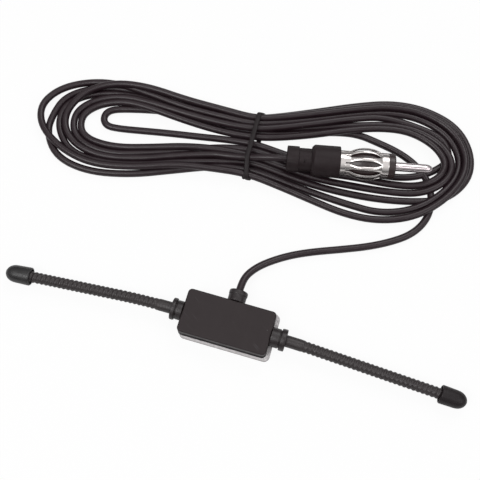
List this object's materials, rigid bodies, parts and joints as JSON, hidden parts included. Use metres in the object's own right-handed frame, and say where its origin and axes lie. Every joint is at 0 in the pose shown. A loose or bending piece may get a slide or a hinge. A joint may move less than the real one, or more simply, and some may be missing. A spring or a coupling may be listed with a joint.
{
  "type": "car windshield radio antenna",
  "caption": "Stick-on car windshield radio antenna: flat housing with ribbed whips at both ends and soft tip caps, thin coaxial cable tied in a hank, and a slotted aerial plug.",
  "frame": {"origin": "on the adhesive face that lies on the glass, under the middle of the housing", "axes": "+X along the whips, towards the longer one; +Y out of the cable gland; +Z away from the glass"},
  "size_m": [0.1539, 0.0962, 0.0126],
  "materials": {
    "housing_plastic": "satin moulded dark grey plastic",
    "foam": "light grey closed-cell foam tape",
    "film": "thin release film",
    "collar_rubber": "black moulded rubber",
    "spring_wire": "drawn spring wire",
    "sleeve_rubber": "black sleeve with a wound ridge",
    "cap_rubber": "black moulded rubber",
    "board": "laminated terminal board",
    "copper": "bare copper",
    "solder": "satin solder",
    "plug_plastic": "black moulded plastic",
    "nickel": "bright nickel plate",
    "insulator_plastic": "black moulded plastic",
    "cable_jacket": "black soft vinyl with a low sheen",
    "tie_plastic": "black flexible plastic"
  },
  "bodies": {
    "root": {"housing_base": "housing_plastic", "housing_lid": "housing_plastic", "adhesive_pad": "foam", "release_film": "film", "left_collar": "collar_rubber", "right_collar": "collar_rubber", "cable_gland": "collar_rubber", "left_whip_core": "spring_wire", "right_whip_core": "spring_wire", "left_whip_sleeve": "sleeve_rubber", "right_whip_sleeve": "sleeve_rubber", "left_tip_cap": "cap_rubber", "right_tip_cap": "cap_rubber", "terminal_board": "board", "coax_core": "copper", "coax_braid": "copper", "solder_joints": "solder", "plug_strain_relief": "plug_plastic", "plug_grip": "plug_plastic", "plug_shell": "nickel", "plug_pin": "nickel", "plug_insulator": "insulator_plastic", "cable_lead": "cable_jacket", "cable_tail": "cable_jacket", "cable_hank": "cable_jacket", "hank_tie": "tie_plastic"}
  },
  "joints": []
}
